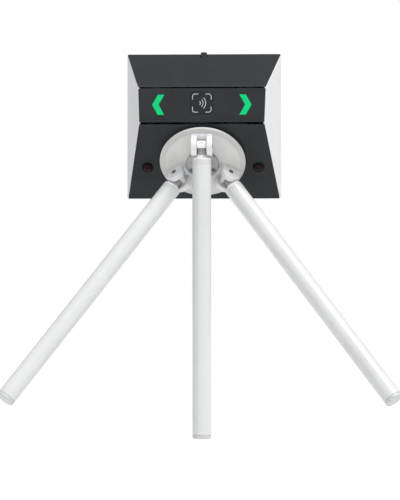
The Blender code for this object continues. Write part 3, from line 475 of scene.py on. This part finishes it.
def markStrokes():
    strokes = []
    corner = mark["half"] - mark["corner"]
    for turn in range(4):
        path = [(mark["half"], corner - mark["leg"])] + arc((corner, corner), mark["corner"], 0, 90, 8)
        path.append((corner - mark["leg"], mark["half"]))
        cosine, sine = math.cos(turn * math.pi / 2), math.sin(turn * math.pi / 2)
        strokes.append([(x * cosine - y * sine, x * sine + y * cosine) for x, y in path])
    for radius in mark["waveRadii"]:
        strokes.append(arc((mark["waveStart"], 0.0), radius, -mark["waveSpread"], mark["waveSpread"], 14))
    return strokes


def nodeGroup(name, inputs):
    # a geometry tree with named inputs; returns it with its input and output nodes
    tree = bpy.data.node_groups.new(name, "GeometryNodeTree")
    tree.is_modifier = True
    tree.interface.new_socket("Geometry", in_out="INPUT", socket_type="NodeSocketGeometry")
    tree.interface.new_socket("Geometry", in_out="OUTPUT", socket_type="NodeSocketGeometry")
    for label, kind in inputs:
        tree.interface.new_socket(label, in_out="INPUT", socket_type=kind)
    return tree, tree.nodes.new("NodeGroupInput"), tree.nodes.new("NodeGroupOutput")


def grown(name, tree, values, base, matrix=None):
    # runs a geometry tree on a base object and keeps the plain mesh
    modifier = base.modifiers.new(name, "NODES")
    modifier.node_group = tree
    for item in tree.interface.items_tree:
        if item.in_out == "INPUT" and item.name in values:
            modifier[item.identifier] = values[item.name]
    return settle(name, base, matrix)


def strokeTree(material):
    tree, given, result = nodeGroup("printedLines", [("line width", "NodeSocketFloat"),
                                                     ("line height", "NodeSocketFloat")])
    path = addNode(tree, "GeometryNodeMeshToCurve", links={"Mesh": (given, "Geometry")})
    radius = addNode(tree, "ShaderNodeMath", {"operation": "MULTIPLY", 1: 0.5}, {0: (given, "line width")})
    section = addNode(tree, "GeometryNodeCurvePrimitiveCircle", {"Resolution": mark["sides"]},
                      {"Radius": (radius, 0)})
    swept = addNode(tree, "GeometryNodeCurveToMesh", {"Fill Caps": True},
                    {"Curve": (path, 0), "Profile Curve": (section, 0)})
    ratio = addNode(tree, "ShaderNodeMath", {"operation": "DIVIDE"},
                    {0: (given, "line height"), 1: (given, "line width")})
    scale = addNode(tree, "ShaderNodeCombineXYZ", {"X": 1.0, "Y": 1.0}, {"Z": (ratio, 0)})
    flat = addNode(tree, "GeometryNodeTransform", links={"Geometry": (swept, 0), "Scale": (scale, 0)})
    real = addNode(tree, "GeometryNodeRealizeInstances", links={"Geometry": (flat, 0)})
    inked = addNode(tree, "GeometryNodeSetMaterial", {"Material": material}, {"Geometry": (real, 0)})
    tree.links.new(inked.outputs[0], result.inputs["Geometry"])
    return tree


strokeMesh = bmesh.new()
for stroke in markStrokes():
    points = [strokeMesh.verts.new((x * mm, y * mm, 0.0)) for x, y in stroke]
    for first, second in zip(points, points[1:]):
        strokeMesh.edges.new((first, second))
markPlace = bandFrame @ Matrix.Translation((0.0, window["rise"] * mm, 0.02 * mm))
tapMark = grown("tapMark", strokeTree(paint["icon_ink"]),
                {"line width": mark["line"] * mm, "line height": mark["raise"] * 2 * mm},
                looseObject("strokes", strokeMesh), markPlace)
dress(tapMark, "window_black", "housing", [], ink="icon_ink")

print("sensors and lock")
sensor = {"offset": 98.3, "drop": -18.2, "ringBack": -6.0, "stemBack": -9.0, "lensPlay": 0.2, "ring": 10.0,
          "body": 6.8, "bore": 5.0, "stem": 4.6, "seat": 0.8, "lens": 7.4, "ringTop": 3.2,
          "domeBase": 2.4, "domeTop": 5.6}
pocket, pocketFloor = sensor["lens"] + sensor["lensPlay"], sensor["seat"] - gap
ringShape = fillet([(sensor["bore"], sensor["ringBack"]), (sensor["body"], sensor["ringBack"]),
                    (sensor["body"], gap), (sensor["ring"], gap, 0.25),
                    (sensor["ring"], sensor["ringTop"], 1.5), (pocket, sensor["ringTop"], 0.35),
                    (pocket, pocketFloor), (sensor["bore"], pocketFloor)])
domeShape = [(0.0, sensor["stemBack"]), (sensor["stem"], sensor["stemBack"]),
             (sensor["stem"], sensor["seat"]), (sensor["lens"], sensor["seat"])]
domeShape += [(sensor["lens"] * math.cos(turn),
               sensor["domeBase"] + (sensor["domeTop"] - sensor["domeBase"]) * math.sin(turn))
              for turn in [math.pi / 2 * i / 14 for i in range(14)]]
domeShape.append((0.0, sensor["domeTop"]))
for side, word, ringNode, lensNode in ((-1, "Left", "sensor_bezel_left", "sensor_lens_left"),
                                       (1, "Right", "sensor_bezel_right", "sensor_lens_right")):
    spot = hubFrame @ Matrix.Translation((side * sensor["offset"] * mm, sensor["drop"] * mm, 0.0))
    piece("sensorRing" + word, placed(lathe(ringShape, 72), spot), "bezel_black", "housing", [ringNode])
    piece("sensorDome" + word, placed(lathe(domeShape, 64), spot), "lens_red", "housing", [lensNode])

lock = {"depth": 12.0, "sleeve": 5.5, "bore": 3.9, "plug": 3.6, "top": 132.3, "base": 115.3,
        "slotHalf": 2.4, "slotWide": 0.5, "slotDeep": 4.0, "plugDrop": 0.4, "tail": 16.0, "tailHalf": 3.4,
        "tailThick": 2.4, "tailLow": 106.3}
lockPlace = Matrix.Translation((0.0, -lock["depth"] * mm, 0.0))
sleeveShape = fillet([(lock["bore"], lock["base"]), (lock["sleeve"], lock["base"]),
                      (lock["sleeve"], lock["top"], 0.9), (lock["bore"], lock["top"], 0.3)])
piece("lockSleeve", placed(lathe(sleeveShape, 64), lockPlace), "lock_dark", "housing", ["lock_body"])
plugTop = lock["top"] - lock["plugDrop"]
plugShape = fillet([(0.0, lock["tailLow"]), (lock["plug"], lock["tailLow"]), (lock["plug"], plugTop, 0.3),
                    (0.0, plugTop)])
tail = block((0.0, -lock["tailHalf"], lock["tailLow"]),
             (lock["tail"], lock["tailHalf"], lock["tailLow"] + lock["tailThick"]))
keySlot = block((-lock["slotHalf"], -lock["slotWide"], lock["top"] - lock["slotDeep"]),
                (lock["slotHalf"], lock["slotWide"], lock["top"] + 2.0))
piece("lockPlug", placed(lathe(plugShape, 64), lockPlace), "lock_chrome", "lock_barrel", ["lock_barrel"],
      joins=[placed(tail, lockPlace)], cuts=[placed(keySlot, lockPlace)])

print("hub")
hub = {"rim": 75.5, "back": 4.0, "face": 12.0, "faceEdge": 66.0, "ringInner": 66.6,
       "ringOuter": 74.3, "ringBack": 9.0, "cap": 28.4, "capFace": 17.3,
       "screwCount": 3, "screwCircle": 22.0, "screwHead": 4.3, "bore": 2.6, "sink": 4.7, "sinkFloor": 13.3}


def screwSpots():
    turns = [math.tau * i / hub["screwCount"] for i in range(hub["screwCount"])]
    return [(hub["screwCircle"] * math.sin(turn), hub["screwCircle"] * math.cos(turn), 0.0) for turn in turns]


def screwHoles(radius, low, high, steps=40):
    return [placed(shifted(rod(radius, low, high, steps), spot), hubFrame) for spot in screwSpots()]


discShape = fillet([(0.0, hub["back"]), (hub["rim"] - 2.5, hub["back"], 0.8), (hub["rim"], 5.5, 0.8),
                    (hub["rim"], 8.4, 0.5), (hub["rim"] - 1.0, 9.4, 0.5), (hub["faceEdge"], hub["face"], 2.0),
                    (0.0, hub["face"])])
hubCover = piece("hubCover", placed(lathe(discShape, 160), hubFrame), "hub_cover", "rotor", ["hub_disc"],
                 cuts=screwHoles(hub["bore"], 0.0, 20.0))
# painted shade: the bevel ring takes a darker copy of the cover's enamel
repaint(hubCover, "hub_ring_shade", hubFrame, lambda spot, way: spot.z > hub["ringBack"] * mm
        and hub["ringInner"] < math.hypot(spot.x, spot.y) / mm < hub["ringOuter"])
capShape = fillet([(0.0, hub["face"] + gap), (hub["cap"], hub["face"] + gap),
                   (hub["cap"], hub["capFace"], 1.2), (0.0, hub["capFace"])])
piece("hubCap", placed(lathe(capShape, 96), hubFrame), "cap_grey", "rotor", ["hub_cap"],
      cuts=screwHoles(hub["bore"], 0.0, 20.0) + screwHoles(hub["sink"], hub["sinkFloor"], 25.0))


def screwTree(material):
    # instances one socket screw on the corners of a ring
    tree, given, result = nodeGroup("screwRing", [
        ("screw", "NodeSocketObject"), ("screw count", "NodeSocketInt"), ("ring radius", "NodeSocketFloat")])
    ring = addNode(tree, "GeometryNodeMeshCircle", {"fill_type": "NONE"},
                   {"Vertices": (given, "screw count"), "Radius": (given, "ring radius")})
    turned = addNode(tree, "GeometryNodeTransform", {"Rotation": (0.0, 0.0, math.pi / 2)},
                     {"Geometry": (ring, 0)})
    source = addNode(tree, "GeometryNodeObjectInfo", links={"Object": (given, "screw")})
    copies = addNode(tree, "GeometryNodeInstanceOnPoints", links={
        "Points": (turned, 0), "Instance": (source, "Geometry")})
    real = addNode(tree, "GeometryNodeRealizeInstances", links={"Geometry": (copies, 0)})
    steel = addNode(tree, "GeometryNodeSetMaterial", {"Material": material}, {"Geometry": (real, 0)})
    tree.links.new(steel.outputs[0], result.inputs["Geometry"])
    return tree


screw = {"shank": 2.2, "tip": -1.0, "socket": 2.3, "socketDeep": 2.4}
headSeat = hub["sinkFloor"] + gap
screwShape = fillet([(0.0, screw["tip"]), (screw["shank"], screw["tip"]), (screw["shank"], headSeat),
                     (hub["screwHead"], headSeat), (hub["screwHead"], hub["capFace"], 0.5),
                     (0.0, hub["capFace"])], 4)
screwObject = looseObject("screwBlank", lathe(screwShape, 48))
socketObject = looseObject("screwSocket", rod(screw["socket"], hub["capFace"] - screw["socketDeep"],
                                              hub["capFace"] + 3.0, 6))
socketCut = screwObject.modifiers.new("socket", "BOOLEAN")
socketCut.operation, socketCut.solver, socketCut.object = "DIFFERENCE", "EXACT", socketObject
screwObject = settle("screwSource", screwObject)
bpy.data.objects.remove(socketObject, do_unlink=True)
hubScrews = grown("hubScrews", screwTree(paint["screw_steel"]),
                  {"screw": screwObject, "screw count": hub["screwCount"],
                   "ring radius": hub["screwCircle"] * mm},
                  looseObject("screwRing", bmesh.new()), hubFrame)
bpy.data.objects.remove(screwObject, do_unlink=True)
dress(hubScrews, "screw_steel", "rotor", ["hub_screw_1", "hub_screw_2", "hub_screw_3"])

print("arms")
fork = {"half": 18.3, "lobe": 17.0, "slotHalf": 8.6, "footHalf": 19.0, "floor": 14.2, "bore": 4.3,
        "edge": 0.9}
arm = {"tube": 16.25, "bore": 14.8, "start": 24.3, "length": 508.0, "capHeight": 7.0, "capRound": 2.6,
       "capPlug": 20.0, "tongueHalf": 8.0, "tongueRound": 9.8, "pin": 4.0, "pinHalf": 18.9,
       "grooves": (27.4, 30.8), "grooveWide": 0.8, "grooveDeep": 0.45}
root = {"blockEnd": 3.6, "neckStart": 15.6, "collar": 20.6, "shank": 8.2, "sleeveWall": 1.5, "waistPlay": 1.6,
        "plugEnd": 50.0, "ridgePitch": 1.6, "ridgeDeep": 0.45, "ridgeHalf": 0.35, "ridgeFloorHalf": 0.15,
        "setScrew": 2.0, "setScrewPlace": -5.5}


def forkMesh():
    radius, height = pivotPlace[1], pivotPlace[2]
    foot = hub["face"] + gap
    outline = [(radius - fork["footHalf"], foot), (radius + fork["footHalf"], foot)]
    outline += arc((radius, height), fork["lobe"], -28.0, 208.0, 56)
    return placed(slab(outline, -fork["half"], fork["half"]), sideOn)


def shankShape():
    # steel sleeve round the waist, with fine ridges along it
    inner, outer = root["shank"] - root["sleeveWall"], root["shank"]
    count = int((root["neckStart"] - root["blockEnd"] - 0.4) / root["ridgePitch"])
    low = root["blockEnd"] + 0.2
    shape = [(inner, low), (outer, low)]
    half, floorHalf, valley = root["ridgeHalf"], root["ridgeFloorHalf"], outer - root["ridgeDeep"]
    for ridge in range(1, count):
        place = low + ridge * root["ridgePitch"]
        shape += [(outer, place - half), (valley, place - floorHalf), (valley, place + floorHalf),
                  (outer, place + half)]
    high = root["neckStart"] - 0.2
    return shape + [(outer, high), (inner, high)]


def tubeShape():
    # outer wall with two shallow rolled grooves by the fork, ends eased
    end = arm["length"] - arm["capHeight"]
    shape = [(arm["bore"], arm["start"], 0.3), (arm["tube"], arm["start"], 0.7)]
    for place in arm["grooves"]:
        half = arm["grooveWide"] / 2
        shape += [(arm["tube"], place - half), (arm["tube"] - arm["grooveDeep"], place - half / 3),
                  (arm["tube"] - arm["grooveDeep"], place + half / 3), (arm["tube"], place + half)]
    shape += [(arm["tube"], end, 0.6), (arm["bore"], end, 0.2)]
    return fillet(shape, 4)


for index, word in enumerate(("Top", "Left", "Right")):
    number = index + 1
    turn, place = forkFrame(index), armFrame(index)
    body = f"arm_{number}"
    slot = block((-fork["slotHalf"], 0.0, fork["floor"]), (fork["slotHalf"], 100.0, 100.0))
    bore = shifted(placed(rod(fork["bore"], -30.0, 30.0), pinWay), pivotPlace)
    piece("fork" + word, placed(forkMesh(), turn), "clevis_grey", "rotor", [f"clevis_{number}"],
          cuts=[placed(slot, turn), placed(bore, turn)], bevel=fork["edge"])

    # the root: a pivot block with its set screw, a waist for the ridged shank, then the neck and collar
    head = arc((0.0, 0.0), arm["tongueRound"], 180.0, 360.0, 40)
    head += [(arm["tongueRound"], root["blockEnd"]), (-arm["tongueRound"], root["blockEnd"])]
    head = placed(placed(slab(head, -arm["tongueHalf"], arm["tongueHalf"]), sideOn), place)
    back, waist, shoulder = arm["start"] - gap, root["shank"] - root["waistPlay"], root["shank"] + gap
    rim, plug = arm["tube"] - gap, arm["bore"] - gap
    neck = lathe(fillet([
        (0.0, root["blockEnd"] - 2.0), (waist, root["blockEnd"] - 2.0), (waist, root["neckStart"]),
        (shoulder, root["neckStart"], 0.4), (shoulder, root["collar"]), (rim, root["collar"], 1.3),
        (rim, back), (plug, back), (plug, root["plugEnd"]), (0.0, root["plugEnd"])]), 96)
    pinBore = placed(placed(rod(fork["bore"], -20.0, 20.0), pinWay), place)
    setScrew = shifted(placed(rod(root["setScrew"], 5.0, 14.0, 32), endOn), (0.0, 0.0, root["setScrewPlace"]))
    piece("armRoot" + word, head, "arm_block", body, [f"arm_block_{number}"],
          joins=[placed(neck, place)], cuts=[pinBore, placed(setScrew, place)], bevel=0.4)
    sleeve = looseObject("shank", placed(lathe(shankShape(), 72), place))
    dress(settle("armShank" + word, sleeve), "arm_block", body, [], ink="shank_grey")

    piece("armTube" + word, placed(lathe(tubeShape(), 128), place), "arm_white", body, [f"arm_tube_{number}"])

    seat = arm["length"] - arm["capHeight"]
    capShape = fillet([(0.0, seat - arm["capPlug"]), (plug, seat - arm["capPlug"], 1.0), (plug, seat + gap),
                       (arm["tube"], seat + gap, 0.6), (arm["tube"], arm["length"], arm["capRound"]),
                       (0.0, arm["length"])], 8)
    piece("armPlug" + word, placed(lathe(capShape, 128), place), "arm_cap", body, [f"arm_cap_{number}"])

    pinShape = fillet([(0.0, -arm["pinHalf"]), (arm["pin"], -arm["pinHalf"], 0.7),
                       (arm["pin"], arm["pinHalf"], 0.7), (0.0, arm["pinHalf"])])
    piece("armPin" + word, placed(placed(lathe(pinShape, 48), pinWay), place), "pin_steel", body,
          [f"pivot_pin_{number}"])

print("mechanism")
coil = {"radius": 7.5, "wire": 0.55, "top": -17.6, "base": -32.4, "turns": 6.0, "place": (56.0, -38.0)}


def coilTree(material):
    tree, given, result = nodeGroup("coilSpring", [
        ("coil radius", "NodeSocketFloat"), ("coil height", "NodeSocketFloat"),
        ("coil turns", "NodeSocketFloat"), ("wire radius", "NodeSocketFloat")])
    spiral = addNode(tree, "GeometryNodeCurveSpiral", {"Resolution": 28}, {
        "Rotations": (given, "coil turns"), "Start Radius": (given, "coil radius"),
        "End Radius": (given, "coil radius"), "Height": (given, "coil height")})
    section = addNode(tree, "GeometryNodeCurvePrimitiveCircle", {"Resolution": 10},
                      {"Radius": (given, "wire radius")})
    wire = addNode(tree, "GeometryNodeCurveToMesh", {"Fill Caps": True},
                   {"Curve": (spiral, 0), "Profile Curve": (section, 0)})
    real = addNode(tree, "GeometryNodeRealizeInstances", links={"Geometry": (wire, 0)})
    steel = addNode(tree, "GeometryNodeSetMaterial", {"Material": material}, {"Geometry": (real, 0)})
    tree.links.new(steel.outputs[0], result.inputs["Geometry"])
    return tree


coilPlace = hubFrame @ Matrix.Translation((coil["place"][0] * mm, coil["place"][1] * mm, coil["base"] * mm))
indexCoil = grown("indexCoil", coilTree(paint["spring_steel"]),
                  {"coil radius": coil["radius"] * mm, "coil height": (coil["top"] - coil["base"]) * mm,
                   "coil turns": coil["turns"], "wire radius": coil["wire"] * mm},
                  looseObject("coilBase", bmesh.new()), coilPlace)
dress(indexCoil, "spring_steel", "housing", ["index_spring"])

# the rest keep their CAD shapes and take their finish here
kept = {
    "chassis_steel": ["chassis"], "block_aluminium": ["bearing_block"],
    "bearing_chrome": ["bearing_front", "bearing_rear"], "coil_black": ["solenoid_left", "solenoid_right"],
    "plunger_steel": ["plunger_left", "plunger_right"], "damper_black": ["damper_body"],
    "pinion_brass": ["damper_pinion"], "sensor_black": ["optical_sensor"],
    "board_green": ["control_board", "reader_board", "led_board_left", "led_board_right"],
    "lever_steel": ["index_lever"], "roller_black": ["index_roller"], "shaft_steel": ["hub_shaft"],
    "cam_steel": ["index_cam"], "gear_white": ["drive_gear"],
}
for look, names in kept.items():
    for node in names:
        for slot in nodes[node].material_slots:
            slot.material = paint[look]

print("studio")
studio = {"floorHeight": -0.78, "floorHalf": 30.0, "sky": 0.34, "seenSky": 1.0, "white": (1.0, 1.0, 1.0, 1.0),
          "keySun": 3.0, "keySoft": 30.0, "keyWay": (-0.30, 0.30, -0.95),
          "fillSun": 0.7, "fillSoft": 40.0, "fillWay": (0.30, 0.90, 0.10)}
floorMesh = bmesh.new()
half = studio["floorHalf"]
floorMesh.faces.new([floorMesh.verts.new((x, y, studio["floorHeight"]))
                     for x, y in ((-half, -half), (half, -half), (half, half), (-half, half))])
floor = looseObject("floor", floorMesh)
floor.data.materials.append(finish("floorPaper", dict(
    colour="#f7f7f7", shade="#f4f4f4", mottleSize=900, grainSize=8, grainDepth=0.05, rough=(0.85, 0.95))))

world = bpy.data.worlds.new("softRoom")
bpy.context.scene.world = world
world.use_nodes = True
tree = world.node_tree
tree.nodes.clear()
rays = addNode(tree, "ShaderNodeLightPath")
# the room lights softly, and the camera sees it as a white wall
roomLight = addNode(tree, "ShaderNodeBackground", {"Color": studio["white"], "Strength": studio["sky"]})
paleWall = addNode(tree, "ShaderNodeBackground", {"Color": studio["white"], "Strength": studio["seenSky"]})
room = addNode(tree, "ShaderNodeMixShader", links={
    "Fac": (rays, "Is Camera Ray"), 1: (roomLight, 0), 2: (paleWall, 0)})
addNode(tree, "ShaderNodeOutputWorld", links={"Surface": (room, 0)})


def sun(name, strength, softness, towards):
    data = bpy.data.lights.new(name, "SUN")
    data.energy, data.angle = strength, math.radians(softness)
    lamp = bpy.data.objects.new(name, data)
    lamp.rotation_euler = Vector(towards).to_track_quat("-Z", "Y").to_euler()
    bpy.context.scene.collection.objects.link(lamp)


sun("keyLight", studio["keySun"], studio["keySoft"], studio["keyWay"])
sun("fillLight", studio["fillSun"], studio["fillSoft"], studio["fillWay"])

shot = {"lens": 147.5, "distance": 3.6, "azimuth": 2.1, "pitch": -1.0, "aim": (-0.0044, -0.0842, -0.2236)}
cameraData = bpy.data.cameras.new("camera")
cameraData.lens, cameraData.sensor_width, cameraData.sensor_fit = shot["lens"], 36.0, "AUTO"
cameraData.clip_start, cameraData.clip_end = 0.05, 120.0
camera = bpy.data.objects.new("camera", cameraData)
azimuth, pitch = math.radians(shot["azimuth"]), math.radians(shot["pitch"])
forward = Vector((-math.sin(azimuth) * math.cos(pitch), math.cos(azimuth) * math.cos(pitch),
                  -math.sin(pitch)))
camera.location = Vector(shot["aim"]) - forward * shot["distance"]
camera.rotation_euler = forward.to_track_quat("-Z", "Y").to_euler()
bpy.context.scene.collection.objects.link(camera)
bpy.context.scene.camera = camera
bpy.context.scene.view_settings.view_transform = "Standard"

print("pieces done")
